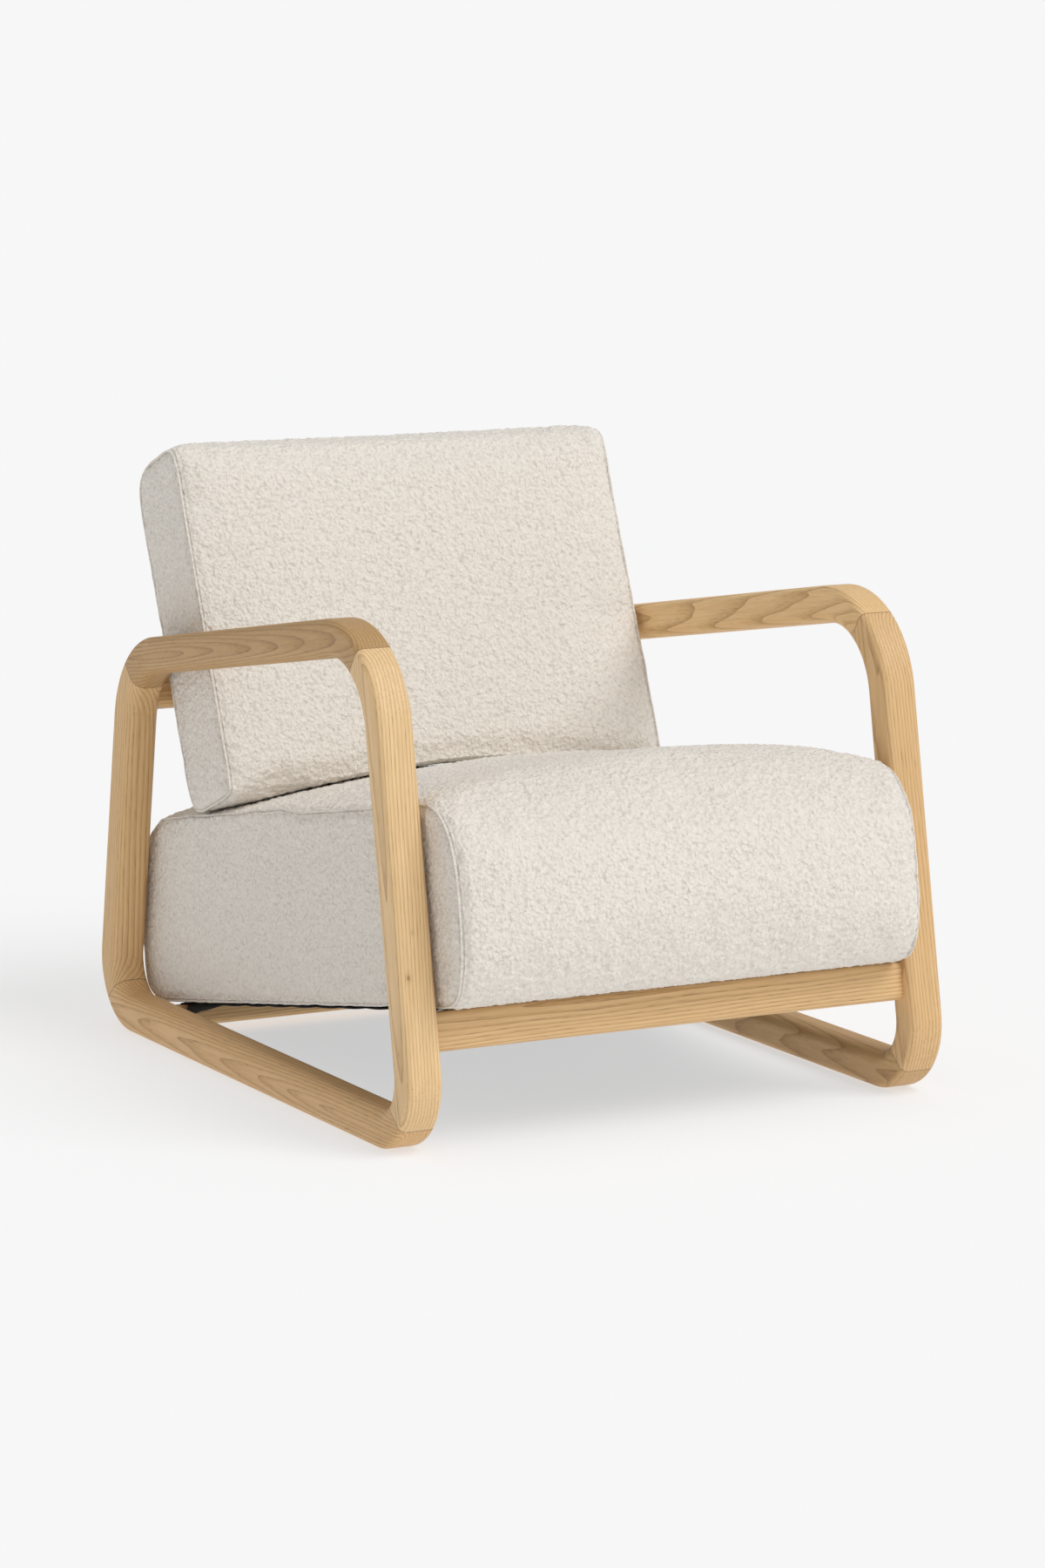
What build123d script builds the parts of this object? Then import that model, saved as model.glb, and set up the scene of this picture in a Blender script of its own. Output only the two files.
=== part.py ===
from build123d import *
import math
import os

# A lounge armchair: two closed timber side loops, three cross rails, a webbed seat deck and two
# loose boxed cushions. Millimetres, +X across the chair, +Y to its rear, +Z up. It is drawn with
# y = 0 at the loops' front corner, then moved so that the origin is the middle of its footprint
# box, on the floor.

# Side loops, as the centre line seen from the side
overall_width = 700.0
member = 45.0
foot_length = 839.0
front_corner_height = 575.0
rear_corner_height = 468.0
front_setback = 99.0
rear_setback = 74.0
top_corner_radius = 108.0
bottom_corner_radius = 62.0
outer_edge_radius = 8.0
inner_edge_radius = 16.0

# Dowels, glued
dowel_radius = 5.0
dowel_length = 50.0
dowel_spacing = 22.0
glue_gap = 0.1

# Cross rails, all of one stock
rail_thickness = 27.0
rail_height = 45.0
rail_edge_radius = 8.0
rail_scribe = 16.0
front_rail_setback = 13.0
rear_rail_inset = 86.0
rear_rail_floor_gap = 4.0
back_rail_drop = 44.0

# Seat deck: elastic straps from rail to rail with a cloth over them
deck_front_height = 167.0
strap_count = 6
strap_width = 60.0
strap_thickness = 1.6
strap_edge = 22.0
strap_lap = 10.0
strap_turn_down = 20.0
cloth_thickness = 0.8
cloth_side_gap = 6.0
deck_gap = 0.4

# Staples through the straps and the cloth
staple_width = 12.0
staple_wire = 0.8
staple_leg = 8.0
staple_spacing = 30.0
staple_inset = 8.0

# Cushions
cushion_side_gap = 5.0
cushion_gap = 1.0
cover_thickness = 3.0
foam_gap = 1.5
layer_gap = 0.3

seat_length = 900.0
seat_overhang = 72.0
seat_side_thickness = 233.0
seat_crown = 41.0
seat_front_top_radius = 85.0
seat_front_bottom_radius = 65.0
seat_rear_top_radius = 100.0
seat_rear_bottom_radius = 60.0
seat_topper_thickness = 95.0

back_lean = 22.0
back_thickness = 145.0
back_rise = 274.0
back_drop = 300.0
back_rail_gap = 2.5
back_front_radius = 22.0
back_rear_radius = 45.0
back_board_thickness = 6.0
back_board_depth = 14.0
back_board_margin = 30.0
back_board_height = 330.0
back_board_width = 520.0

# Zips at the rear of both covers
zip_length = 440.0
zip_slot_width = 9.0
zip_tape_width = 26.0
zip_tape_overlap = 10.0
zip_tape_thickness = 1.0
zip_chain_width = 5.0
zip_chain_height = 1.6
slider_length = 12.0
slider_clearance = 0.4
slider_side_clearance = 0.5
slider_proud = 0.4
slider_end_gap = 2.0
pull_length = 24.0
pull_width = 5.0
pull_thickness = 1.0
seat_zip_height = 115.0
back_zip_drop = 88.0

# Worked out from the values above
half_member = member / 2
loop_x = overall_width / 2 - half_member
inner_half = loop_x - half_member
cushion_half = inner_half - cushion_side_gap
deck_stack = deck_gap + cloth_thickness + strap_thickness
big = 2000.0

corners = {
    "front_foot": (0.0, half_member),
    "front_top": (front_setback, front_corner_height),
    "rear_top": (foot_length - rear_setback, rear_corner_height),
    "rear_foot": (foot_length, half_member),
}
corner_radii = {
    "front_foot": bottom_corner_radius,
    "front_top": top_corner_radius,
    "rear_top": top_corner_radius,
    "rear_foot": bottom_corner_radius,
}
members = {
    "front_leg": ("front_foot", "front_top"),
    "arm_rail": ("front_top", "rear_top"),
    "rear_leg": ("rear_top", "rear_foot"),
    "runner": ("rear_foot", "front_foot"),
}


def side_plane(y, z, fall):
    """Plane seen from the side: local x runs to the rear and falls by an angle, local y is up."""
    angle = math.radians(fall)
    return Plane(origin=(0, y, z), x_dir=(0, math.cos(angle), -math.sin(angle)), z_dir=(1, 0, 0))


def deck_fall():
    """Angle of the deck, from its front height down to the rear rail standing clear of the floor."""
    run = foot_length - rear_rail_inset
    drop = deck_front_height - rear_rail_floor_gap
    reach = math.hypot(run, drop)
    return math.degrees(math.atan2(drop, run) - math.asin((rail_thickness + deck_stack) / reach))


deck = side_plane(0, deck_front_height, deck_fall())


def point_on_front_leg(height):
    """Y of the front leg's centre line at a height."""
    share = (height - half_member) / (front_corner_height - half_member)
    return front_setback * share


def rail_centre_on_rear_leg():
    """Point of the rear leg's centre line where the back rail crosses it."""
    top = Vector(0, *corners["rear_top"])
    foot = Vector(0, *corners["rear_foot"])
    return top + (foot - top).normalized() * back_rail_drop


back_centre = rail_centre_on_rear_leg()
back = side_plane(back_centre.Y, back_centre.Z, back_lean)


def corner_directions(name):
    """Unit vectors from a loop corner: along the bisector inwards, and across the mitre."""
    names = list(corners)
    index = names.index(name)
    here = Vector(0, *corners[name])
    ahead = (Vector(0, *corners[names[(index + 1) % len(names)]]) - here).normalized()
    behind = (Vector(0, *corners[names[index - 1]]) - here).normalized()
    inwards = (ahead + behind).normalized()
    across = (ahead - behind).normalized()
    half_angle = ahead.get_angle(behind) / 2
    return here, inwards, across, math.radians(half_angle)


def loop_solid(x):
    """One whole side loop: a rounded four-sided ring with softer edges inside than outside."""
    plane = Plane(origin=(x - half_member, 0, 0), x_dir=(0, 1, 0), z_dir=(1, 0, 0))
    line = FilletPolyline(*corners.values(), radius=list(corner_radii.values()), close=True)
    centre = make_face(line)
    ring = offset(centre, amount=half_member) - offset(centre, amount=-half_member)
    solid = extrude(plane * ring, amount=member)
    ends = solid.faces().filter_by(Axis.X)
    inside = [edge for face in ends for wire in face.inner_wires() for edge in wire.edges()]
    solid = fillet(inside, inner_edge_radius)
    ends = solid.faces().filter_by(Axis.X)
    outside = [edge for face in ends for edge in face.outer_wire().edges()]
    return fillet(outside, outer_edge_radius)


def mitre_wedge(start, end):
    """Prism that holds one member of a loop, cut at the bisectors of its two corners."""
    outline = []
    for name, order in ((start, (-1, 1)), (end, (1, -1))):
        here, inwards, _, half_angle = corner_directions(name)
        reach = (corner_radii[name] + member) / math.sin(half_angle)
        outline += [here + inwards * reach * sign for sign in order]
    face = make_face(Polyline(*outline, close=True))
    return extrude(face, amount=big, dir=(1, 0, 0), both=True)


def corner_dowels(x, name, radius):
    """Two dowels across one mitre, on the centre line of the bend."""
    here, inwards, across, half_angle = corner_directions(name)
    bend = corner_radii[name]
    middle = here + inwards * bend * (1 / math.sin(half_angle) - 1)
    pins = []
    for side in (-1, 1):
        place = Plane(origin=middle + Vector(x + side * dowel_spacing / 2, 0, 0), z_dir=across)
        pins.append(place * Cylinder(radius, dowel_length))
    return pins


def rail_dowels(plane, x_local, y_local, along, radius):
    """Four dowels of one cross rail, two at each end, half in the rail and half in the loop."""
    pins = []
    for end in (-1, 1):
        for side in (-1, 1):
            shift = Vector(*along) * side * dowel_spacing / 2
            place = plane * Pos(x_local + shift.X, y_local + shift.Y, end * inner_half)
            pins.append(place * Cylinder(radius, dowel_length))
    return pins


def cross_rail(plane, x_local, y_local, width, height, loops):
    """A cross rail with rounded edges, its ends scribed to the loops' inner faces."""
    face = plane * Pos(x_local, y_local) * RectangleRounded(width, height, rail_edge_radius)
    bar = extrude(face, amount=inner_half + rail_scribe, both=True)
    for loop in loops:
        bar -= loop
    return bar.solids().sort_by(SortBy.VOLUME)[-1]


def drill(solid, pins):
    """A timber with the holes for its dowels."""
    for pin in pins:
        solid -= pin
    return solid


def timber_nodes():
    """Loop members, cross rails and their dowels, by node name."""
    loops = {"left": loop_solid(-loop_x), "right": loop_solid(loop_x)}
    rail_top = -deck_stack
    front_s = front_rail_s() + rail_thickness / 2
    rear_s = rear_rail_s() + rail_height / 2
    rails = {
        "front_rail": (deck, front_s, rail_top - rail_height / 2, rail_thickness, rail_height),
        "rear_seat_rail": (deck, rear_s, rail_top - rail_thickness / 2, rail_height, rail_thickness),
        "back_rail": (back, 0, 0, rail_thickness, rail_height),
    }
    nodes = {}
    rail_holes = []
    for name, (plane, x_local, y_local, width, height) in rails.items():
        along = (0, 1) if height > width else (1, 0)
        holes = rail_dowels(plane, x_local, y_local, along, dowel_radius + glue_gap)
        bar = cross_rail(plane, x_local, y_local, width, height, loops.values())
        nodes[name] = drill(bar, holes)
        nodes[name + "_dowels"] = rail_dowels(plane, x_local, y_local, along, dowel_radius)
        rail_holes += holes
    for side, loop in loops.items():
        x = loop.center(CenterOf.BOUNDING_BOX).X
        holes = [pin for name in corners for pin in corner_dowels(x, name, dowel_radius + glue_gap)]
        holes += [pin for pin in rail_holes if pin.center().X * x > 0]
        for name, (start, end) in members.items():
            piece = loop & mitre_wedge(start, end)
            nodes[f"{side}_{name}"] = drill(piece, holes)
        pins = [pin for name in corners for pin in corner_dowels(x, name, dowel_radius)]
        nodes[f"{side}_mitre_dowels"] = pins
    return nodes


def front_rail_s():
    """Deck position of the front rail's front face, set back from the front of the leg."""
    height = deck_front_height - deck_stack - rail_height / 2
    leg = deck.to_local_coords(Vector(0, point_on_front_leg(height), height))
    return leg.X - half_member + front_rail_setback


def rear_rail_s():
    """Deck position of the rear seat rail's front face."""
    low = Vector(0, foot_length - rear_rail_inset, rear_rail_floor_gap)
    return deck.to_local_coords(low).X - rail_height


def deck_box(x, s_from, s_to, h_from, h_to, width):
    """A box laid on the deck plane, between two deck positions and two heights."""
    place = deck * Pos((s_from + s_to) / 2, (h_from + h_to) / 2, x)
    return place * Box(s_to - s_from, h_to - h_from, width)


def strap_solid(x):
    """One strap: laid over the front rail, stretched to the rear rail and turned down behind it."""
    start = front_rail_s() + strap_lap
    end = rear_rail_s() + rail_height
    under = -deck_stack
    top = under + strap_thickness
    low = top - strap_turn_down
    outer = (end + strap_thickness, top)
    inner = (end, under)
    outline = [(start, top), outer, (outer[0], low), (end, low), inner, (start, under)]
    face = make_face(Polyline(*outline, close=True))
    bends = ((outer, rail_edge_radius + strap_thickness), (inner, rail_edge_radius))
    for point, radius in bends:
        corner = face.vertices().sort_by_distance(Vector(*point, 0))[0]
        face = fillet(corner, radius)
    return extrude(deck * Pos(0, 0, x) * face, amount=strap_width / 2, both=True)


def staple_solid(place):
    """One staple: local x along its crown, its legs down local -z, its crown's top at z = 0."""
    crown = Pos(0, 0, -staple_wire / 2) * Box(staple_width, staple_wire, staple_wire)
    for side in (-1, 1):
        leg_x = side * (staple_width - staple_wire) / 2
        crown += Pos(leg_x, 0, -staple_leg / 2) * Box(staple_wire, staple_wire, staple_leg)
    return place * crown


def staples_for(x):
    """Six staples of one strap: two on each rail's top, and two in the rear rail's rear face."""
    slope = Vector(*deck.x_dir)
    up = Vector(*deck.y_dir)
    top = -deck_gap
    front = front_rail_s() + strap_lap + staple_inset
    rear = rear_rail_s() + rail_height / 2
    behind = rear_rail_s() + rail_height + strap_thickness
    low = -deck_stack + strap_thickness - strap_turn_down + staple_inset
    staples = []
    for side in (-1, 1):
        across = x + side * staple_spacing / 2
        for s in (front, rear):
            origin = deck.from_local_coords(Vector(s, top, across))
            staples.append(staple_solid(Plane(origin=origin, x_dir=(1, 0, 0), z_dir=up)))
        origin = deck.from_local_coords(Vector(behind, low, across))
        staples.append(staple_solid(Plane(origin=origin, x_dir=(1, 0, 0), z_dir=slope)))
    return staples


def deck_nodes(timber):
    """Straps, cloth and staples. The staples' holes are cut in the straps, cloth and rails."""
    nodes = {}
    staples = []
    pitch = (2 * (inner_half - strap_edge) - strap_width) / (strap_count - 1)
    for index in range(strap_count):
        x = (index - (strap_count - 1) / 2) * pitch
        own = staples_for(x)
        nodes[f"seat_strap_{index + 1}"] = drill(strap_solid(x), own)
        staples += own
    cloth_start = front_rail_s() + strap_lap
    cloth_end = rear_rail_s() + rail_height - rail_edge_radius
    cloth_width = 2 * (inner_half - cloth_side_gap)
    cloth = deck_box(0, cloth_start, cloth_end, -deck_gap - cloth_thickness, -deck_gap, cloth_width)
    nodes["deck_cloth"] = drill(cloth, staples)
    for name in ("front_rail", "rear_seat_rail"):
        timber[name] = drill(timber[name], staples)
    nodes["deck_staples"] = staples
    return nodes


def rounded_outline(points, radii):
    """Closed outline with its corners rounded, a radius for each."""
    return make_face(FilletPolyline(*points, radius=radii, close=True))


def seat_span():
    """Deck positions of the seat cushion's front and rear."""
    front = front_rail_s() - seat_overhang
    return front, front + seat_length


def seat_side_prism(inset):
    """The seat cushion's side outline, drawn in by an inset and run right across the chair."""
    front, rear = seat_span()
    top = seat_side_thickness + seat_crown - inset
    points = [(front + inset, inset), (front + inset, top), (rear - inset, top), (rear - inset, inset)]
    radii = [seat_front_bottom_radius, seat_front_top_radius]
    radii += [seat_rear_top_radius, seat_rear_bottom_radius]
    face = rounded_outline(points, [radius - inset for radius in radii])
    return extrude(deck * face, amount=big, both=True)


def seat_front_prism(inset, half, floor):
    """The seat cushion's crowned outline seen from the front, run along the deck."""
    crown_radius = (cushion_half**2 + seat_crown**2) / (2 * seat_crown)
    centre = seat_side_thickness + seat_crown - crown_radius
    reach = crown_radius - inset
    shoulder = centre + math.sqrt(reach**2 - half**2)
    arc = ThreePointArc((-half, shoulder), (0, centre + reach), (half, shoulder))
    sides = Polyline((half, shoulder), (half, floor), (-half, floor), (-half, shoulder))
    plane = Plane(origin=deck.origin, x_dir=(1, 0, 0), z_dir=-deck.x_dir)
    return extrude(plane * make_face([arc, sides]), amount=big, both=True)


def back_side_prism(inset):
    """The back cushion's side outline, drawn in by an inset, from far below the seat to its top."""
    rear = -rail_thickness / 2 - back_rail_gap - inset
    front = rear + 2 * inset - back_thickness
    top = back_rise - inset
    points = [(front, -back_drop), (front, top), (rear, top), (rear, -back_drop)]
    radii = [back_front_radius, back_front_radius, back_rear_radius, back_rear_radius]
    face = rounded_outline(points, [radius - inset for radius in radii])
    return extrude(back * face, amount=big, both=True)


def slab(half):
    """Everything within a distance of the chair's middle plane."""
    return Box(2 * half, 2 * big, 2 * big)


def seat_form(inset, half):
    """The seat cushion's form, drawn in by an inset and cut off at a half width."""
    form = seat_side_prism(inset) & seat_front_prism(inset, cushion_half + foam_gap, inset)
    return form & slab(half)


def back_form(inset, half):
    """The back cushion's form, its underside fitted over the seat's crown."""
    crown = seat_front_prism(-cushion_gap - inset, cushion_half + foam_gap, -big)
    form = (back_side_prism(inset) - crown) & slab(half)
    return form.solids().sort_by(SortBy.VOLUME)[-1]


def cover_nodes(name, form):
    """A cover's three panels: one wrapped round the foam, and one closing each side."""
    panel_half = cushion_half - cover_thickness
    outer = form(0, cushion_half)
    wrap = form(0, panel_half) - form(cover_thickness, cushion_half)
    sides = {"left": -1, "right": 1}
    nodes = {f"{name}_cover_wrap": wrap}
    for side, sign in sides.items():
        ends = outer - slab(panel_half)
        keep = [solid for solid in ends.solids() if solid.center().X * sign > 0]
        nodes[f"{name}_cover_{side}_panel"] = keep[0]
    return nodes


def seat_foam():
    """The seat's firm base block and the crowned softer layer on it."""
    inset = cover_thickness + foam_gap
    core = seat_form(inset, cushion_half - inset)
    split = seat_side_thickness + seat_crown - inset - seat_topper_thickness
    front, rear = seat_span()
    above = deck_box(0, front - big, rear + big, split, big, 2 * big)
    below = deck_box(0, front - big, rear + big, -big, split - layer_gap, 2 * big)
    return {"seat_foam_base": core & below, "seat_foam_topper": core & above}


def back_foam():
    """The back's foam, its plywood stiffener and the thin foam behind it."""
    inset = cover_thickness + foam_gap
    core = back_form(inset, cushion_half - inset)
    rear = -rail_thickness / 2 - back_rail_gap - inset - back_board_depth
    front = rear - back_board_thickness
    middle = back_rise - inset - back_board_margin - back_board_height / 2
    place = back * Pos((front + rear) / 2, middle)

    def layer(x_from, x_to):
        return back * Pos((x_from + x_to) / 2, 0) * Box(x_to - x_from, 2 * big, 2 * big)

    return {
        "back_foam_core": core & layer(-big, front - layer_gap),
        "back_stiffener_board": place * Box(back_board_thickness, back_board_height, back_board_width),
        "back_foam_backing": core & layer(rear + layer_gap, big),
    }


def zip_nodes(name, face_plane, wrap):
    """A zip set in a slot of the wrap panel: local z out of the cover, local y down it."""
    tape_low = -cover_thickness - zip_tape_thickness
    tape = Box(zip_length + 2 * zip_tape_overlap, zip_tape_width, zip_tape_thickness)
    chain = Box(zip_length, zip_chain_width, zip_chain_height)
    tape = Pos(0, 0, tape_low + zip_tape_thickness / 2) * tape
    tape += Pos(0, 0, -cover_thickness + zip_chain_height / 2) * chain
    slot = Box(zip_length, zip_slot_width, 2 * cover_thickness)
    low = -cover_thickness + zip_chain_height + slider_clearance
    body_height = slider_proud - low
    body_width = zip_slot_width - 2 * slider_side_clearance
    slider = Pos(0, 0, low + body_height / 2) * Box(slider_length, body_width, body_height)
    pull_y = pull_length / 2 - body_width / 2
    pull = Box(pull_width, pull_length, pull_thickness)
    slider += Pos(0, pull_y, slider_proud + pull_thickness / 2) * pull
    closed = Pos(zip_length / 2 - slider_end_gap - slider_length / 2, 0, 0)
    return {
        f"{name}_cover_wrap": wrap - face_plane * slot,
        f"{name}_zip": face_plane * tape,
        f"{name}_zip_slider": face_plane * closed * slider,
    }


def cushion_nodes():
    """Both cushions: foam, covers and zips."""
    nodes = cover_nodes("seat", seat_form) | cover_nodes("back", back_form)
    nodes |= seat_foam() | back_foam()
    rear_of_seat = deck.from_local_coords(Vector(seat_span()[1], seat_zip_height, 0))
    rear_of_back = back.from_local_coords(Vector(-rail_thickness / 2 - back_rail_gap, -back_zip_drop, 0))
    planes = {
        "seat": Plane(origin=rear_of_seat, x_dir=(1, 0, 0), z_dir=deck.x_dir),
        "back": Plane(origin=rear_of_back, x_dir=(1, 0, 0), z_dir=back.x_dir),
    }
    for name, plane in planes.items():
        nodes |= zip_nodes(name, plane, nodes[f"{name}_cover_wrap"])
    return nodes


def as_shape(solids):
    """A node's solids as one shape."""
    return Compound(children=solids) if isinstance(solids, list) else solids


timber = timber_nodes()
nodes = timber | deck_nodes(timber)
nodes |= timber | cushion_nodes()
shapes = {name: as_shape(solids) for name, solids in nodes.items()}
footprint = Compound(children=[Compound(shape.solids()) for shape in shapes.values()]).bounding_box()
to_origin = Pos(0, -footprint.center().Y, 0)

os.makedirs("parts", exist_ok=True)
for name, shape in shapes.items():
    export_step(to_origin * shape, f"parts/{name}.step")
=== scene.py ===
import math

import bmesh
import bpy
import numpy as np
from mathutils import Matrix, Vector
from mathutils.kdtree import KDTree


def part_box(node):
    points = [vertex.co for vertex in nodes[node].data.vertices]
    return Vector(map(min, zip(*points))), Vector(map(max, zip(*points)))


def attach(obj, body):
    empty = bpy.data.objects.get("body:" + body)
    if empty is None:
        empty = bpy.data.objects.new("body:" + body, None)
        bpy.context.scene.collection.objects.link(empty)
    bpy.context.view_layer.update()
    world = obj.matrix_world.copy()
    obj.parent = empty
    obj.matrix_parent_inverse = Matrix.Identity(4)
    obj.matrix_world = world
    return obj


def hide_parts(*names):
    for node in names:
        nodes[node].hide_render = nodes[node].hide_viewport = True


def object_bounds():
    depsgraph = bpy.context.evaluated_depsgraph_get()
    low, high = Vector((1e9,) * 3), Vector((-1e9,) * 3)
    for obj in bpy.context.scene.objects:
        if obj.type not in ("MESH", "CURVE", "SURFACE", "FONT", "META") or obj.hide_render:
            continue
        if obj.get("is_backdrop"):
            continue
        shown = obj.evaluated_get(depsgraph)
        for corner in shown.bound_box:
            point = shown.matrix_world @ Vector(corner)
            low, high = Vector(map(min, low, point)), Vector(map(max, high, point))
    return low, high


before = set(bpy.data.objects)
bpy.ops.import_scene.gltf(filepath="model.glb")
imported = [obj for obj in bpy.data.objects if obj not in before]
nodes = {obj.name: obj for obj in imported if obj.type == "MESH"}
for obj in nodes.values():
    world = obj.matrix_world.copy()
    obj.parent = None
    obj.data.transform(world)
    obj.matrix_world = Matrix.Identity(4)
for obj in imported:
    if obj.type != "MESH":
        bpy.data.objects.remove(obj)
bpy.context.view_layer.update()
bpy.ops.object.select_all(action="DESELECT")
scene = bpy.context.scene

# Side loops
# Each side of the chair is a closed loop of four planed oak members, 45 mm square, with rounded
# corners and soft edges. They are mitred together at the corners, glued over dowels and oiled.
loop_shift = -0.408957
loop_half = 0.3275
member_half = 0.0225
foot_length = 0.839
arm_front, arm_front_height = 0.099, 0.575
arm_rear, arm_rear_height = 0.765, 0.468
upright = Vector((0, 0, 1))
loop_corners = {
    "front_foot": Vector((0, loop_shift, member_half)),
    "front_top": Vector((0, arm_front + loop_shift, arm_front_height)),
    "rear_top": Vector((0, arm_rear + loop_shift, arm_rear_height)),
    "rear_foot": Vector((0, foot_length + loop_shift, member_half)),
}
member_ends = {
    "front_leg": ("front_foot", "front_top"),
    "arm_rail": ("front_top", "rear_top"),
    "rear_leg": ("rear_top", "rear_foot"),
    "runner": ("rear_foot", "front_foot"),
}
oak_light = (0.760, 0.525, 0.275, 1)
oak_middle = (0.630, 0.405, 0.190, 1)
oak_dark = (0.430, 0.250, 0.105, 1)
oak_pore = (0.270, 0.155, 0.070, 1)
glue_line_half = 0.0006
ring_scale, ring_wander = 74.0, 7.5
ring_stretch = (1, 1, 0.11)
fibre_stretch = (1, 1, 0.028)
knot_stretch = (1, 1, 0.6)


def add(tree, kind, inputs=None, **settings):
    """A shader node with its settings, its inputs set or linked."""
    made = tree.nodes.new(kind)
    for key, value in settings.items():
        setattr(made, key, value)
    for key, value in (inputs or {}).items():
        if isinstance(value, bpy.types.NodeSocket):
            tree.links.new(value, made.inputs[key])
        else:
            made.inputs[key].default_value = value
    return made


def ramp(tree, factor, stops):
    """A colour ramp from a list of (position, colour)."""
    made = add(tree, "ShaderNodeValToRGB", {"Fac": factor})
    elements = made.color_ramp.elements
    while len(elements) < len(stops):
        elements.new(0.5)
    for element, (position, colour) in zip(elements, stops):
        element.position = position
        element.color = colour
    return made.outputs["Color"]


def mix(tree, factor, low, high, blend="MIX"):
    """Two colours mixed by a factor."""
    made = tree.nodes.new("ShaderNodeMix")
    made.data_type = "RGBA"
    made.blend_type = blend
    for key, value in ((0, factor), (6, low), (7, high)):
        if isinstance(value, bpy.types.NodeSocket):
            tree.links.new(value, made.inputs[key])
        else:
            made.inputs[key].default_value = value
    return made.outputs[2]


def span(tree, value, low, high, to_low=0.0, to_high=1.0):
    """A value mapped from one range to another and held inside it."""
    settings = {"Value": value, "From Min": low, "From Max": high}
    settings |= {"To Min": to_low, "To Max": to_high}
    return add(tree, "ShaderNodeMapRange", settings).outputs["Result"]


def maths(tree, operation, first, second=0.0):
    """One sum of two values."""
    return add(tree, "ShaderNodeMath", {0: first, 1: second}, operation=operation).outputs[0]


def noise(tree, vector, scale, detail):
    """Soft noise at a scale."""
    settings = {"Vector": vector, "Scale": scale, "Detail": detail}
    return add(tree, "ShaderNodeTexNoise", settings).outputs["Fac"]


def vectors(tree, operation, first, second):
    """One sum of two vectors."""
    return add(tree, "ShaderNodeVectorMath", {0: first, 1: second}, operation=operation).outputs[0]


def new_finish(name):
    """An empty finish: its material, shader tree, surface and the place on the piece."""
    material = bpy.data.materials.new(name)
    material.use_nodes = True
    tree = material.node_tree
    place = add(tree, "ShaderNodeTexCoord").outputs["Object"]
    return material, tree, tree.nodes["Principled BSDF"], place


def surfaced(tree, surface, colour, height, strength, distance):
    """Gives a surface its colour and its relief."""
    bump = add(tree, "ShaderNodeBump", {"Height": height, "Strength": strength, "Distance": distance})
    tree.links.new(colour, surface.inputs["Base Color"])
    tree.links.new(bump.outputs["Normal"], surface.inputs["Normal"])


def oak(name, along, pith, joints=(), tone_and_light_tint=(1, 1, 1), knots=()):
    """Oiled oak with its grain along a direction, a dark line at each mitre, small pin knots, and a tint that
    paints on the board the light or shade that falls on it.
    """
    material, tree, surface, place = new_finish(name)
    turn = along.rotation_difference(upright).to_euler()
    mapping = {"Vector": place, "Location": pith, "Rotation": turn}
    board = add(tree, "ShaderNodeMapping", mapping).outputs[0]
    stretched = vectors(tree, "MULTIPLY", board, ring_stretch)
    fibres = vectors(tree, "MULTIPLY", board, fibre_stretch)
    wave = {"Vector": stretched, "Scale": ring_scale, "Distortion": ring_wander}
    rings = add(
        tree,
        "ShaderNodeTexWave",
        wave | {"Detail": 2.0, "Detail Scale": 0.30},
        wave_type="RINGS",
        rings_direction="Z",
        wave_profile="SAW",
    ).outputs["Fac"]
    streak = noise(tree, fibres, 260.0, 4.0)
    fine = noise(tree, fibres, 900.0, 3.0)
    pores = noise(tree, fibres, 1350.0, 1.0)
    broad = noise(tree, stretched, 14.0, 2.0)
    stops = [(0.0, oak_light), (0.50, oak_light), (0.84, oak_middle), (1.0, oak_dark)]
    figure = ramp(tree, rings, stops)
    base = mix(tree, 0.95, oak_light, figure)
    base = mix(tree, span(tree, streak, 0.38, 0.72, 0.0, 0.60), base, oak_middle)
    base = mix(tree, span(tree, fine, 0.50, 0.75, 0.0, 0.35), base, oak_dark)
    early = span(tree, rings, 0.35, 0.95)
    flecks = maths(tree, "MULTIPLY", span(tree, pores, 0.57, 0.66), early)
    base = mix(tree, maths(tree, "MULTIPLY", flecks, 0.72), base, oak_pore)
    base = mix(tree, span(tree, broad, 0.35, 0.75, 0.0, 0.30), base, oak_middle)
    # The tint paints light or shade over the whole board.
    base = mix(tree, 1.0, base, (*tone_and_light_tint, 1), "MULTIPLY")
    height = maths(tree, "SUBTRACT", 1.0, maths(tree, "MULTIPLY", flecks, 0.8))
    for point, normal in joints:
        away = vectors(tree, "SUBTRACT", place, point)
        off = add(tree, "ShaderNodeVectorMath", {0: away, 1: normal}, operation="DOT_PRODUCT")
        off = maths(tree, "ABSOLUTE", off.outputs["Value"])
        line = span(tree, off, glue_line_half * 0.5, glue_line_half * 1.5, 1.0, 0.0)
        base = mix(tree, maths(tree, "MULTIPLY", line, 0.8), base, oak_pore)
        height = maths(tree, "SUBTRACT", height, line)
    for centre, size in knots:
        away = vectors(tree, "SUBTRACT", place, centre)
        away = vectors(tree, "MULTIPLY", away, knot_stretch)
        away = add(tree, "ShaderNodeVectorMath", {0: away}, operation="LENGTH").outputs["Value"]
        base = mix(tree, span(tree, away, size * 0.4, size * 2.6, 0.35, 0.0), base, oak_dark)
        base = mix(tree, span(tree, away, size * 0.3, size, 0.75, 0.0), base, oak_pore)
    surfaced(tree, surface, base, height, 0.25, 0.0006)
    tree.links.new(span(tree, streak, 0.2, 0.8, 0.42, 0.56), surface.inputs["Roughness"])
    surface.inputs["Specular IOR Level"].default_value = 0.35
    return material


def finish_node(name, material):
    """Puts a material on a carried-over piece."""
    for place in nodes[name].material_slots:
        place.material = material


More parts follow.
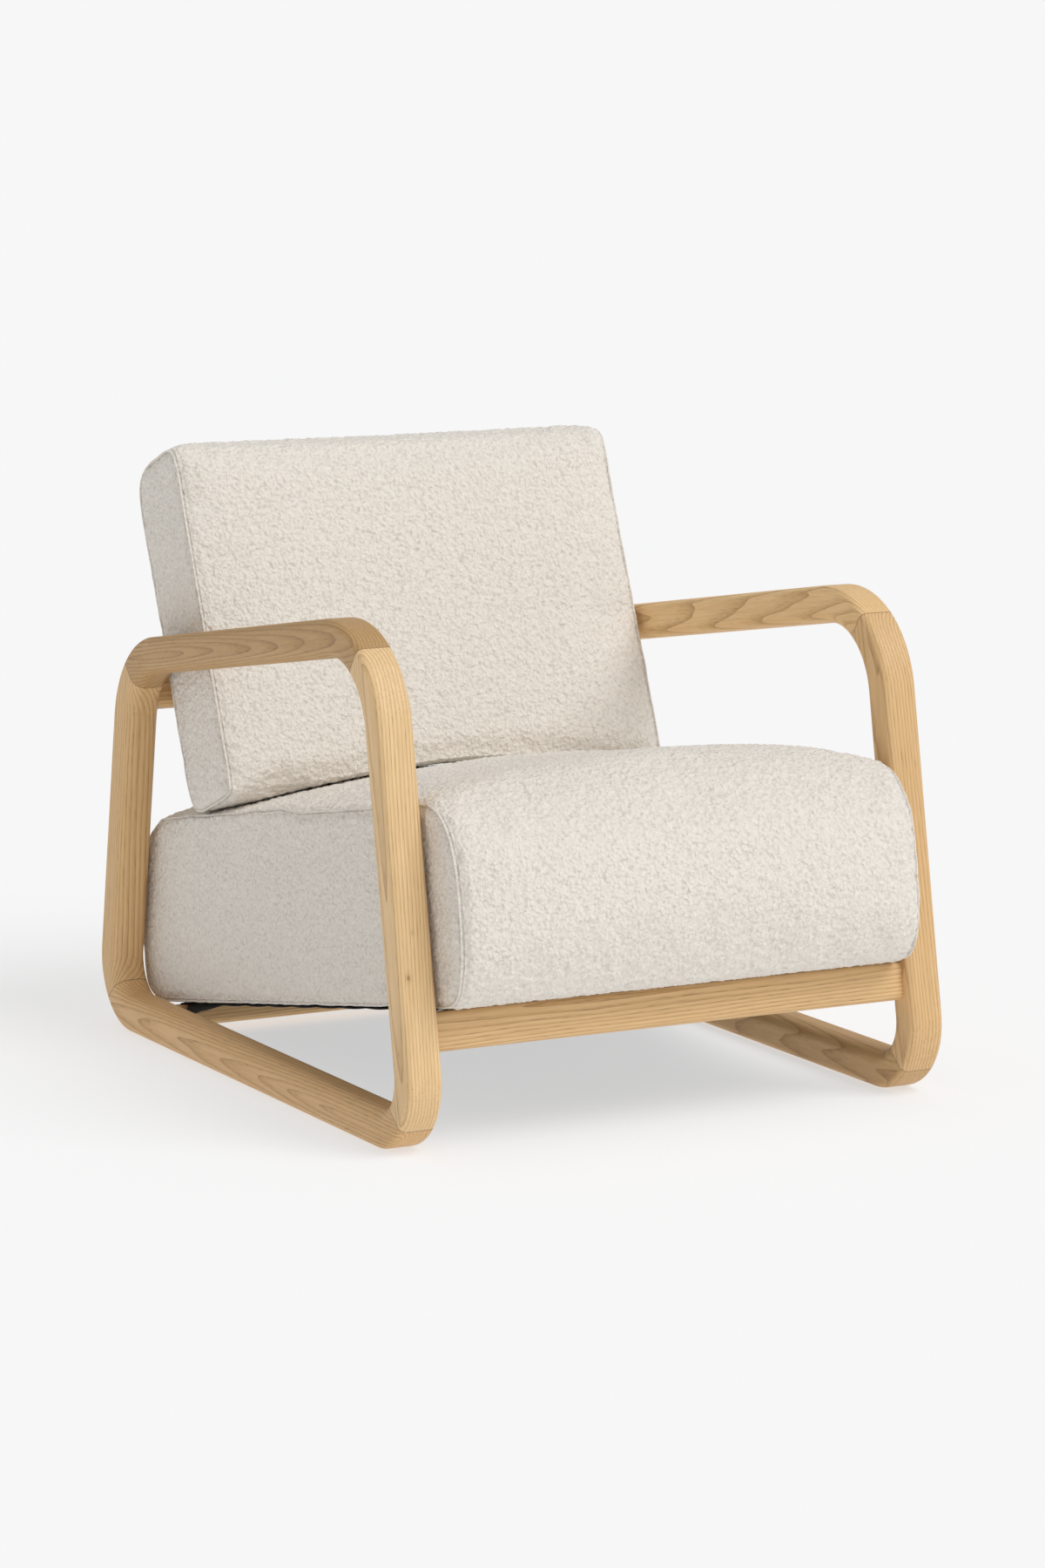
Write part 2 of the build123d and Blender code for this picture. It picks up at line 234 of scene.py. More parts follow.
def mitre(corner):
    """A corner's point and the normal of its mitre plane."""
    names = list(loop_corners)
    index = names.index(corner)
    here = loop_corners[corner]
    ahead = (loop_corners[names[(index + 1) % 4]] - here).normalized()
    behind = (loop_corners[names[index - 1]] - here).normalized()
    return here, (ahead - behind).normalized()


# Where each board's pith lies, how far its grain runs out, and its tint. The tint is painted light and shade:
# it makes the shaded left arm rail and right runner darker and cooler, the lit right arm rail brighter, and
# the left front leg paler as a painted highlight.
boards = {
    "left_front_leg": ((0.052, 0.010, 0.3), 0.020, (1.17, 1.21, 1.26)),
    "left_arm_rail": ((0.034, -0.003, 0.1), 0.050, (0.75, 0.69, 0.60)),
    "left_rear_leg": ((0.048, 0.012, 0.7), 0.030, (1.06, 1.04, 1.00)),
    "left_runner": ((0.036, 0.004, 0.4), 0.040, (1.04, 0.98, 0.91)),
    "right_front_leg": ((-0.050, 0.012, 0.9), -0.024, (1.08, 1.05, 1.02)),
    "right_arm_rail": ((-0.040, 0.008, 0.2), -0.034, (1.22, 1.22, 1.20)),
    "right_rear_leg": ((-0.044, 0.010, 0.5), -0.030, (0.96, 0.94, 0.91)),
    "right_runner": ((-0.038, 0.005, 0.8), -0.036, (0.90, 0.84, 0.76)),
}
pin_knots = {"left_front_leg": [((-0.3385, -0.3993, 0.2040), 0.0026), ((-0.3290, -0.3895, 0.2520), 0.0015)]}
for side in ("left", "right"):
    for member, (start, end) in member_ends.items():
        name = f"{side}_{member}"
        run = (loop_corners[end] - loop_corners[start]).normalized()
        middle = (loop_corners[start] + loop_corners[end]) / 2
        middle.x = -loop_half if side == "left" else loop_half
        pith, run_out, tone_and_light_tint = boards[name]
        along = (run + Vector((run_out, 0, 0))).normalized()
        offset = Vector(pith) - along.rotation_difference(upright) @ middle
        wood = oak(f"oak_{name}", along, offset, [mitre(start), mitre(end)], tone_and_light_tint, pin_knots.get(name, ()))
        finish_node(name, wood)

# Cross rails
# Three rails tie the side loops together: one under the front of the seat, one low at its rear,
# and one behind the back cushion, all of oak with their ends scribed to the loops.
for number, name in enumerate(("front_rail", "rear_seat_rail", "back_rail")):
    low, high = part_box(name)
    middle = (Vector(low) + Vector(high)) / 2
    along = Vector((1, 0.012, 0.02)).normalized()
    offset = Vector((0.035, 0.03, 0.37 * number)) - along.rotation_difference(upright) @ middle
    # The rails' tint lifts their colour a little, partly their own tone and partly painted light.
    finish_node(name, oak(f"oak_{name}", along, offset, tone_and_light_tint=(1.10, 1.08, 1.06)))

# Dowels
# Fluted beech dowels sit hidden in the mitres and in the ends of the rails. Beech is plain and
# pinkish, with short fine flecks along the grain.
beech_pale = (0.72, 0.50, 0.32, 1)
beech_dark = (0.58, 0.37, 0.21, 1)
beech, beech_tree, beech_surface, beech_place = new_finish("beech")
beech_fleck = span(beech_tree, noise(beech_tree, beech_place, 600.0, 3.0), 0.4, 0.7)
beech_colour = mix(beech_tree, beech_fleck, beech_pale, beech_dark)
beech_tree.links.new(beech_colour, beech_surface.inputs["Base Color"])
beech_surface.inputs["Roughness"].default_value = 0.6
for name in (
    "left_mitre_dowels",
    "right_mitre_dowels",
    "front_rail_dowels",
    "rear_seat_rail_dowels",
    "back_rail_dowels",
):
    finish_node(name, beech)

# Seat straps
# Black elastic straps run from the front rail to the rear one, stretched and stapled. They are
# woven with fine ribs across their width and cords along it.
deck_angle = math.radians(9.998)
deck_origin = Vector((0, loop_shift, 0.167))
deck_run = Vector((0, math.cos(deck_angle), -math.sin(deck_angle)))
deck_up = Vector((0, math.sin(deck_angle), math.cos(deck_angle)))

web_gap = (0.012, 0.012, 0.013, 1)
web_cord = (0.050, 0.050, 0.053, 1)
webbing, web_tree, web_surface, web_place = new_finish("webbing")
web_turn = {"Vector": web_place, "Rotation": (deck_angle, 0, 0)}
web_flat = add(web_tree, "ShaderNodeMapping", web_turn).outputs[0]
web_across = {"Vector": web_flat, "Scale": 105.0, "Distortion": 0.4}
web_ribs = add(web_tree, "ShaderNodeTexWave", web_across, bands_direction="Y").outputs["Fac"]
web_along = {"Vector": web_flat, "Scale": 150.0, "Distortion": 0.3}
web_cords = add(web_tree, "ShaderNodeTexWave", web_along, bands_direction="X").outputs["Fac"]
web_weave = maths(web_tree, "MULTIPLY", web_ribs, web_cords)
surfaced(web_tree, web_surface, mix(web_tree, web_weave, web_gap, web_cord), web_weave, 0.7, 0.0006)
web_surface.inputs["Roughness"].default_value = 0.75
web_surface.inputs["Sheen Weight"].default_value = 0.15
for number in range(1, 7):
    finish_node(f"seat_strap_{number}", webbing)

# Staples
# Galvanised wire staples hold the straps and the cloth to the front rail and the rear seat rail.
# Only their crowns show, across the webbing.
zinc_light = (0.62, 0.63, 0.64, 1)
zinc_dark = (0.42, 0.43, 0.45, 1)


def metal(name, light, dark, spots, dulls):
    """Bare metal with small cloudy differences in tone and polish."""
    material, tree, surface, place = new_finish(name)
    spots = noise(tree, place, *spots)
    tree.links.new(mix(tree, spots, light, dark), surface.inputs["Base Color"])
    tree.links.new(span(tree, spots, 0.3, 0.7, *dulls), surface.inputs["Roughness"])
    surface.inputs["Metallic"].default_value = 1.0
    return material


wire = metal("staple_wire", zinc_light, zinc_dark, (800.0, 2.0), (0.28, 0.45))
finish_node("deck_staples", wire)

# Deck cloth
# One black spun cloth lies over the straps, stapled at both rails. Beside the outermost straps it
# is free, and near the rear its loose left edge hangs a little below the deck.
cloth_start, cloth_end = 0.026, 0.753
cloth_half = 0.299
cloth_top = -0.0005
strap_edge = 0.2845
loose_start, loose_end = 0.590, 0.775
loose_rise, loose_fall = 0.115, 0.05
loose_depth = 0.011
ripple_depth, ripple_rate = 0.0012, 47.0

bpy.ops.mesh.primitive_grid_add(x_subdivisions=150, y_subdivisions=120, size=1)
deck_cloth = bpy.context.object
deck_cloth.name = "deck_cloth_sheet"
for vertex in deck_cloth.data.vertices:
    x = vertex.co.x * 2 * cloth_half
    along = cloth_start + (vertex.co.y + 0.5) * (cloth_end - cloth_start)
    beyond = min(max((-strap_edge - x) / (cloth_half - strap_edge), 0.0), 1.0)
    beside = min(max((abs(x) - strap_edge) / (cloth_half - strap_edge), 0.0), 1.0)
    near = min(max((along - loose_start) / loose_rise, 0.0), 1.0)
    near *= min(max((loose_end - along) / loose_fall, 0.0), 1.0)
    near = near * near * (3 - 2 * near)
    ripple = abs(ripple_depth * math.sin(along * ripple_rate) * beside)
    drop = loose_depth * near * beyond * beyond * (3 - 2 * beyond) + ripple
    vertex.co = deck_origin + deck_run * along + deck_up * (cloth_top - drop) + Vector((x, 0, 0))
cloth_wall = deck_cloth.modifiers.new("wall", "SOLIDIFY")
cloth_wall.thickness = 0.0006
cloth_wall.offset = -1
bpy.ops.object.modifier_apply(modifier="wall")
bpy.ops.object.shade_smooth_by_angle(angle=math.radians(40))

spun_gap = (0.010, 0.010, 0.011, 1)
spun_fibre = (0.032, 0.032, 0.034, 1)
spun, spun_tree, spun_surface, spun_place = new_finish("deck_cloth")
spun_dots = add(spun_tree, "ShaderNodeTexVoronoi", {"Vector": spun_place, "Scale": 520.0}).outputs["Distance"]
spun_fuzz = maths(spun_tree, "MULTIPLY", noise(spun_tree, spun_place, 1400.0, 3.0), 0.5)
spun_height = maths(spun_tree, "ADD", spun_fuzz, spun_dots)
spun_colour = mix(spun_tree, span(spun_tree, spun_height, 0.2, 0.9), spun_gap, spun_fibre)
surfaced(spun_tree, spun_surface, spun_colour, spun_height, 0.5, 0.0004)
spun_surface.inputs["Roughness"].default_value = 0.85
deck_cloth.data.materials.append(spun)
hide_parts("deck_cloth")
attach(deck_cloth, "frame")

# Seat cushion
# A thick boxed cushion of firm foam under a softer crowned layer, in a loose-fitting cover of
# ivory boucle. The wrap panel goes round the front, top, rear and underside and is seamed to a
# flat panel at each side; it stands proud between the seams, which pucker a little.
boucle_light = (0.902, 0.848, 0.772, 1)
boucle_middle = (0.866, 0.810, 0.732, 1)
# Darker colour painted into the hollows between the curls as shade.
boucle_hollow_shade = (0.76, 0.702, 0.618, 1)
# Colour of the painted shade in the fold beside each seam, and how far from the seam that line runs.
boucle_crease_shade = (0.42, 0.370, 0.300, 1)
crease_shade_offset = 0.0024
curl_wander = 0.0040
cushion_half = 0.300
cushion_limit = 0.3035
held_border = 0.006
swell_spare = 0.0006
swell_frames = 20
seam_inset = 0.0015
seam_pitch = 0.004
seam_radius = 0.0013
seam_rise = 0.0001
curl_size = 0.0068
gather_turn, gather_run = 0.38, 12
gather_rise = 0.006
valley_off, valley_half = 0.0055, 0.0035
seat_swell = 0.010
seat_edge_height = 0.2285
seat_crown = 0.0395
seat_zip_face = 0.8443
seat_zip_height = 0.115
slot_depth = 0.0042
slot_wall, slot_end = (0.0040, 0.0072), (0.219, 0.223)
flat_wall, flat_end = (0.024, 0.070), (0.226, 0.275)
flat_fade = 0.030
seat_sink = -0.0024
front_rail_rise, front_rail_top = 0.0026, (0.018, 0.024)
voxel = 0.0055


def boucle(name):
    """Looped-pile cloth: small irregular curls with painted shade in the hollows between them, and a painted
    shade line in the fold each side of a seam.
    """
    material, tree, surface, place = new_finish(name)
    drift = {"Vector": place, "Scale": 190.0, "Detail": 2.0}
    wander = add(tree, "ShaderNodeTexNoise", drift).outputs["Color"]
    wander = vectors(tree, "SUBTRACT", wander, (0.5, 0.5, 0.5))
    wander = vectors(tree, "MULTIPLY", wander, (curl_wander, curl_wander, curl_wander))
    moved = vectors(tree, "ADD", place, wander)
    cells = {"Vector": moved, "Scale": 215.0, "Smoothness": 0.35}
    curls = add(tree, "ShaderNodeTexVoronoi", cells, feature="SMOOTH_F1").outputs["Distance"]
    nubs = noise(tree, moved, 230.0, 3.0)
    fuzz = noise(tree, place, 1100.0, 2.0)
    height = maths(tree, "MULTIPLY", span(tree, nubs, 0.30, 0.70), 0.45)
    height = maths(tree, "ADD", height, span(tree, curls, 0.10, 0.75, 0.50, 0.0))
    height = maths(tree, "ADD", height, maths(tree, "MULTIPLY", fuzz, 0.18))
    # Painted shade: the colour darkens with the relief and is deepest in the hollows between curls.
    tone = span(tree, height, 0.18, 0.92)
    stops = [(0.0, boucle_hollow_shade), (0.30, boucle_middle), (0.62, boucle_light), (1.0, boucle_light)]
    colour = ramp(tree, tone, stops)
    # Painted shade: a dark line each side of a seam, where the fold there lies in shade.
    beside = add(tree, "ShaderNodeAttribute", attribute_name="seam_gap").outputs["Fac"]
    beside = maths(tree, "ABSOLUTE", maths(tree, "SUBTRACT", beside, crease_shade_offset))
    fold = span(tree, beside, 0.0003, 0.0016, 1.0, 0.0)
    colour = mix(tree, maths(tree, "MULTIPLY", fold, 0.35), colour, boucle_crease_shade)
    height = maths(tree, "SUBTRACT", height, maths(tree, "MULTIPLY", fold, 0.4))
    surfaced(tree, surface, colour, height, 0.9, 0.0026)
    surface.inputs["Roughness"].default_value = 0.95
    surface.inputs["Specular IOR Level"].default_value = 0.15
    surface.inputs["Sheen Weight"].default_value = 0.25
    surface.inputs["Sheen Roughness"].default_value = 0.55
    return material


def only(piece):
    """Selects one object alone and makes it active."""
    bpy.ops.object.select_all(action="DESELECT")
    piece.select_set(True)
    bpy.context.view_layer.objects.active = piece


def closed_copy(name, sources):
    """One closed hull round copies of some carried-over pieces."""
    bpy.ops.object.select_all(action="DESELECT")
    copies = []
    for source in sources:
        copy = bpy.data.objects.new(name, nodes[source].data.copy())
        scene.collection.objects.link(copy)
        copy.select_set(True)
        copies.append(copy)
    bpy.context.view_layer.objects.active = copies[0]
    bpy.ops.object.join()
    piece = bpy.context.object
    piece.name = name
    piece.data.materials.clear()
    bpy.ops.object.mode_set(mode="EDIT")
    bpy.ops.mesh.select_all(action="SELECT")
    bpy.ops.mesh.remove_doubles(threshold=0.0001)
    bpy.ops.mesh.convex_hull()
    bpy.ops.object.mode_set(mode="OBJECT")
    piece.data.remesh_voxel_size = voxel
    bpy.ops.object.voxel_remesh()
    return piece


def coordinates(piece):
    """A mesh's vertices as an array."""
    flat = np.empty(len(piece.data.vertices) * 3)
    piece.data.vertices.foreach_get("co", flat)
    return flat.reshape(-1, 3)


def put_back(piece, points):
    """Writes an array of vertices back to a mesh."""
    piece.data.vertices.foreach_set("co", points.ravel())
    piece.data.update()


def smooth_step(value, low, high):
    """0 below low, 1 above high and an S curve between."""
    share = np.clip((value - low) / (high - low), 0.0, 1.0)
    return share * share * (3 - 2 * share)


def deck_place(points):
    """Distances along and above the deck."""
    off = points - np.array(deck_origin)
    return off @ np.array(deck_run), off @ np.array(deck_up)


def pillow(x, power, fullness=0.4):
    """How far the cover stands proud across the cushion: 0 at the side seams, 1 in the middle."""
    side = np.minimum(np.abs(x) / cushion_half, 1.0)
    return (1 - side**power) ** fullness


def seat_share(x):
    """The seat's crown across the chair, a little fuller on its right."""
    return np.where(x < 0, pillow(x, 1.4, 0.75), pillow(x, 2.2, 0.6))


def seat_top(x):
    """Height of the seat's crown above the deck at a distance from the middle plane."""
    return seat_edge_height + seat_crown * seat_share(x)


def rounded_outline(low, high, corners):
    """Outline from its low and high corner, with an elliptical rounding (run, rise) at each."""
    ends = [(low[0], low[1]), (low[0], high[1]), (high[0], high[1]), (high[0], low[1])]
    signs = [(1, 1), (1, -1), (-1, -1), (-1, 1)]
    spans = [(1.5, 1.0), (1.0, 0.5), (0.5, 0.0), (2.0, 1.5)]
    outline = []
    for end, sign, (start, stop), (run, rise) in zip(ends, signs, spans, corners):
        for turn in np.linspace(start, stop, 24) * math.pi:
            centre = (end[0] + sign[0] * run, end[1] + sign[1] * rise)
            outline.append((centre[0] + run * math.cos(turn), centre[1] + rise * math.sin(turn)))
    loop = np.array(outline + outline[:1])
    length = np.concatenate([[0], np.cumsum(np.linalg.norm(np.diff(loop, axis=0), axis=1))])
    even = np.linspace(0, length[-1], 1200, endpoint=False)
    return np.stack([np.interp(even, length, loop[:, axis]) for axis in range(2)], axis=1)


def reach(outline, centre, stretch, turn):
    """Distance from a centre to an outline at some angles."""
    off = (outline - centre) * (stretch, 1)
    angle = np.arctan2(off[:, 1], off[:, 0])
    order = np.argsort(angle)
    return np.interp(turn, angle[order], np.linalg.norm(off, axis=1)[order], period=2 * math.pi)


def morph(run, rise, x, plain, side, middle, shares, centre, stretch):
    """Moves a cover from its plain outline to one that changes from its sides to its middle."""
    off = np.stack([(run - centre[0]) * stretch, rise - centre[1]], axis=1)
    turn = np.arctan2(off[:, 1], off[:, 0])
    length = np.linalg.norm(off, axis=1)
    on_side = np.abs(x) > cushion_half - 0.0035
    ratio = np.where(on_side, np.minimum(length / reach(plain, centre, stretch, turn), 1.0), 1.0)
    end_share, top_share = shares
    upward = smooth_step(np.sin(turn), 0.55, 0.85)
    share = end_share + upward * (top_share - end_share)
    target = reach(side, centre, stretch, turn)
    target = target + share * (reach(middle, centre, stretch, turn) - target)
    new = target * ratio
    return new * np.cos(turn) / stretch + centre[0], new * np.sin(turn) + centre[1]


seat_side = rounded_outline(
    (-0.049, -0.0015), (0.834, 0.228), [(0.040, 0.095), (0.066, 0.090), (0.112, 0.115), (0.080, 0.028)]
)
seat_middle = rounded_outline(
    (-0.066, -0.0015), (0.846, 0.259), [(0.055, 0.085), (0.095, 0.115), (0.125, 0.130), (0.080, 0.045)]
)
seat_centre = np.array((0.400, 0.115))
seat_stretch = 0.3


def shape_seat(points):
    """The seat cover's outline, drawn in at the side seams and proud between them."""
    along, above = deck_place(points)
    new_along, new_above = morph(
        along,
        above,
        points[:, 0],
        seat_plain,
        seat_side,
        seat_middle,
        (pillow(points[:, 0], 2.6), seat_share(points[:, 0])),
        seat_centre,
        seat_stretch,
    )
    under_back = smooth_step(new_along, 0.33, 0.46) * (1 - smooth_step(new_along, 0.68, 0.78))
    new_above = new_above + 0.014 * under_back * smooth_step(new_above, 0.150, 0.215)
    step = (new_along - along)[:, None] * np.array(deck_run)
    return points + step + (new_above - above)[:, None] * np.array(deck_up)


def zip_band(points, out, beside, face, outward, spare):
    """Lays a cover flat across its zip and opens a slot along it."""
    x = np.abs(points[:, 0])
    slot = (1 - smooth_step(np.abs(beside), *slot_wall)) * (1 - smooth_step(x, *slot_end))
    free = smooth_step(np.abs(beside), *flat_wall) + smooth_step(x, *flat_end)
    limit = face - spare - slot_depth * slot + flat_fade * free
    return points - np.maximum(out - limit, 0.0)[:, None] * np.array(outward)


def keep_seat(points, spare=0.0):
    """The seat stays on the deck, under the back's path, between the side loops and off its zip."""
    along, above = deck_place(points)
    floor_height = seat_sink + front_rail_rise * smooth_step(along, *front_rail_top)
    points = points + np.maximum(floor_height - above, 0.0)[:, None] * np.array(deck_up)
    limit = seat_top(points[:, 0]) - spare + 0.020 * (1 - smooth_step(along, 0.30, 0.42))
    limit += 0.0025 * (1 - smooth_step(along, 0.470, 0.500))
    points = points - np.maximum(above - limit, 0.0)[:, None] * np.array(deck_up)
    along, above = deck_place(points)
    points = zip_band(points, along, above - seat_zip_height, seat_zip_face, deck_run, spare)
    points[:, 0] = np.clip(points[:, 0], -cushion_limit, cushion_limit)
    return points


def inflate(piece, pressure, cap, pinned, keep):
    """Cloth under a little air pressure, held at its seams, with no point going further than a cap."""
    only(piece)
    start = coordinates(piece)
    group = piece.vertex_groups.new(name="seams")
    group.add([int(i) for i in np.nonzero(pinned)[0]], 1.0, "REPLACE")
    cloth = piece.modifiers.new("cloth", "CLOTH")
    cloth.settings.quality = 4
    cloth.settings.mass = 0.4
    cloth.settings.tension_stiffness = 12
    cloth.settings.compression_stiffness = 8
    cloth.settings.bending_stiffness = 0.6
    cloth.settings.shrink_min = -0.01
    cloth.settings.use_pressure = True
    cloth.settings.uniform_pressure_force = pressure
    cloth.settings.vertex_group_mass = "seams"
    cloth.settings.effector_weights.gravity = 0
    cloth.collision_settings.use_collision = False
    cloth.point_cache.frame_start = 1
    cloth.point_cache.frame_end = swell_frames
    for number in range(1, swell_frames + 1):
        scene.frame_set(number)
    bpy.ops.object.modifier_apply(modifier="cloth")
    scene.frame_set(1)
    piece.vertex_groups.clear()
    move = coordinates(piece) - start
    length = np.linalg.norm(move, axis=1)
    move *= (cap * np.tanh(length / cap) / np.maximum(length, 1e-9))[:, None]
    put_back(piece, keep(start + move, swell_spare))


def seam_path(panel):
    """Evenly spaced points round the outer edge of a side panel."""
    mesh = bmesh.new()
    mesh.from_mesh(nodes[panel].data)
    bmesh.ops.remove_doubles(mesh, verts=mesh.verts, dist=0.00005)
    mesh.normal_update()
    sign = -1 if "left" in panel else 1
    outer = {face for face in mesh.faces if face.normal.x * sign > 0.9}
    rim = [e for e in mesh.edges if sum(f in outer for f in e.link_faces) == 1]
    ahead = {}
    for edge in rim:
        for first, second in (tuple(edge.verts), tuple(edge.verts)[::-1]):
            ahead.setdefault(first.index, []).append(second)
    start = rim[0].verts[0]
    path, before, here = [start.co.copy()], start.index, rim[0].verts[1]
    while here.index != start.index:
        path.append(here.co.copy())
        step = [v for v in ahead[here.index] if v.index != before][0]
        before, here = here.index, step
    mesh.free()
    loop = np.array(path + path[:1])
    length = np.concatenate([[0], np.cumsum(np.linalg.norm(np.diff(loop, axis=0), axis=1))])
    count = int(length[-1] / seam_pitch)
    wanted = np.linspace(0, length[-1], count, endpoint=False)
    even = np.stack([np.interp(wanted, length, loop[:, axis]) for axis in range(3)], axis=1)
    even[:, 0] = sign * (cushion_half - seam_inset)
    return even


def snapped(piece, path, depth):
    """A seam's points moved to the finished cover, and sunk a little into it."""
    found = []
    for point in path:
        _, place, normal, _ = piece.closest_point_on_mesh(Vector(point))
        found.append(place - normal * depth)
    found = np.array(found)
    for _ in range(6):
        found = (np.roll(found, 1, axis=0) + 2 * found + np.roll(found, -1, axis=0)) / 4
    return found


def pucker(piece, paths, depth, reach):
    """Gathers the cover along its seams: small folds across the seam, and a valley beside it."""
    points = coordinates(piece)
    normals = np.empty(len(points) * 3)
    piece.data.vertices.foreach_get("normal", normals)
    normals = normals.reshape(-1, 3)
    push = np.zeros(len(points))
    gap = np.full(len(points), 3 * reach)
    for number, path in enumerate(paths):
        ahead = np.roll(path, -1, axis=0) - path
        fine = np.concatenate([path + ahead * part for part in (0, 0.25, 0.5, 0.75)])
        tree = KDTree(len(fine))
        for index, point in enumerate(fine):
            tree.insert(point, index % len(path))
        tree.balance()
        close = np.nonzero(np.abs(points[:, 0] - path[0, 0]) < 3 * reach)[0]
        rng = np.random.default_rng(7 + number)
        phase = np.cumsum(rng.uniform(0.35, 1.0, len(path)) * gather_turn)
        strength = 0.35 + 0.65 * rng.random(len(path) // gather_run + 2)
        for vertex in close:
            _, index, off = tree.find(points[vertex])
            gap[vertex] = min(off, gap[vertex])
            if off > 3 * reach:
                continue
            step, part = index // gather_run, (index % gather_run) / gather_run
            size = strength[step] * (1 - part) + strength[step + 1] * part
            fold = math.sin(phase[index]) * size * math.exp(-off / reach)
            valley = -0.9 * math.exp(-(((off - valley_off) / valley_half) ** 2))
            push[vertex] += depth * (fold * min(off / gather_rise, 1.0) + valley)
    put_back(piece, points + push[:, None] * normals)
    beside = piece.data.attributes.new("seam_gap", "FLOAT", "POINT")
    beside.data.foreach_set("value", gap)


def curl_surface(piece, size, height):
    """The pile's curls as small lumps in the surface."""
    only(piece)
    lumps = bpy.data.textures.new(f"{piece.name}_curls", "VORONOI")
    lumps.noise_scale = size
    lumps.distance_metric = "DISTANCE"
    lift = piece.modifiers.new("curls", "DISPLACE")
    lift.texture = lumps
    lift.texture_coords = "LOCAL"
    lift.strength = -height
    lift.mid_level = 0.35
    bpy.ops.object.modifier_apply(modifier="curls")


def welt(name, path, radius, material):
    """A turned seam allowance that stands up along the seam as a slim round ridge."""
    line = bpy.data.curves.new(name, "CURVE")
    line.dimensions = "3D"
    spline = line.splines.new("POLY")
    spline.points.add(len(path) - 1)
    for point, place in zip(spline.points, path):
        point.co = (*place, 1)
    spline.use_cyclic_u = True
    line.bevel_depth = radius
    line.bevel_resolution = 3
    piece = bpy.data.objects.new(name, line)
    scene.collection.objects.link(piece)
    only(piece)
    bpy.ops.object.convert(target="MESH")
    piece = bpy.context.object
    bpy.ops.object.shade_smooth()
    piece.data.materials.append(material)
    return piece


def subdivided(piece, levels):
    """Adds a subdivision and applies it."""
    only(piece)
    layer = piece.modifiers.new("subdivision", "SUBSURF")
    layer.levels = levels
    layer.render_levels = levels
    bpy.ops.object.modifier_apply(modifier="subdivision")
    bpy.ops.object.shade_smooth()


def relax(piece, factor, repeats):
    """Evens out the voxel steps."""
    only(piece)
    soften = piece.modifiers.new("relax", "SMOOTH")
    soften.factor = factor
    soften.iterations = repeats
    bpy.ops.object.modifier_apply(modifier="relax")


seat_cover = boucle("seat_boucle")
seat_seams = [seam_path(f"seat_cover_{side}_panel") for side in ("left", "right")]
seat_plain = np.stack(deck_place(seat_seams[0]), axis=1)
seat_paths = [shape_seat(path) for path in seat_seams]
seat_panels = ("seat_cover_wrap", "seat_cover_left_panel", "seat_cover_right_panel")
seat = closed_copy("seat_cushion_cover", seat_panels)
put_back(seat, shape_seat(coordinates(seat)))
relax(seat, 0.5, 4)
seat_points = coordinates(seat)
seat_held = np.abs(seat_points[:, 0]) > cushion_half - held_border
seat_held |= deck_place(seat_points)[1] < 0.004
inflate(seat, 4.0, seat_swell, seat_held, keep_seat)
relax(seat, 0.5, 8)
seat_paths = [snapped(seat, path, 0.0) for path in seat_paths]
subdivided(seat, 1)
pucker(seat, seat_paths, 0.0022, 0.022)
curl_surface(seat, curl_size, 0.0034)
put_back(seat, keep_seat(coordinates(seat)))
seat.data.materials.append(seat_cover)
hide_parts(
    "seat_cover_wrap",
    "seat_cover_left_panel",
    "seat_cover_right_panel",
    "seat_foam_base",
    "seat_foam_topper",
)
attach(seat, "seat_cushion")
for side, path in zip(("left", "right"), seat_paths):
    ridge = welt(f"seat_{side}_seam", snapped(seat, path, -seam_rise), seam_radius, seat_cover)
    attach(ridge, "seat_cushion")

# Back cushion
# A softer boxed cushion that leans against the back rail and stands on the seat, whose crown its
# underside follows. A thin board near its rear face keeps it upright. Same cover, same seams.
back_origin = Vector((0, 0.772217 + loop_shift, 0.424594))
back_angle = math.radians(22)
back_rearward = Vector((0, math.cos(back_angle), -math.sin(back_angle)))
back_up = Vector((0, math.sin(back_angle), math.cos(back_angle)))
back_swell = 0.008
back_rear_limit = -0.0150
back_zip_face = -0.016
back_zip_drop = 0.088


def back_place(points):
    """Distances behind and up from the back rail's middle, along the lean."""
    off = points - np.array(back_origin)
    return off @ np.array(back_rearward), off @ np.array(back_up)


def over_seat(points, gap):
    """Lifts what would be inside the seat's crown to just above it."""
    _, above = deck_place(points)
    lift = np.maximum(seat_top(points[:, 0]) + gap - above, 0.0)
    return points + lift[:, None] * np.array(deck_up)


back_side = rounded_outline(
    (-0.154, -0.172), (-0.034, 0.267), [(0.010, 0.010), (0.018, 0.022), (0.045, 0.038), (0.020, 0.030)]
)
back_middle = rounded_outline(
    (-0.168, -0.172), (-0.0150, 0.273), [(0.010, 0.010), (0.028, 0.030), (0.055, 0.050), (0.020, 0.030)]
)
back_centre = np.array((-0.090, 0.060))
back_stretch = 2.4


def shape_back(points):
    """The back cover's outline, drawn in at the side seams, proud between them, over the seat."""
    behind, up = back_place(points)
    new_behind, new_up = morph(
        behind,
        up,
        points[:, 0],
        back_plain,
        back_side,
        back_middle,
        (pillow(points[:, 0], 3.0), pillow(points[:, 0], 9.0)),
        back_centre,
        back_stretch,
    )
    step = (new_behind - behind)[:, None] * np.array(back_rearward)
    return over_seat(points + step + (new_up - up)[:, None] * np.array(back_up), 0.0015)


def keep_back(points, spare=0.0):
    """The back stays above the seat, ahead of the back rail, between the side loops and off its zip."""
    points = over_seat(points, 0.0010)
    behind, up = back_place(points)
    past = np.maximum(behind - back_rear_limit + spare, 0.0)
    points = points - past[:, None] * np.array(back_rearward)
    behind, up = back_place(points)
    points = zip_band(points, behind, up + back_zip_drop, back_zip_face, back_rearward, spare)
    points[:, 0] = np.clip(points[:, 0], -cushion_limit, cushion_limit)
    return points


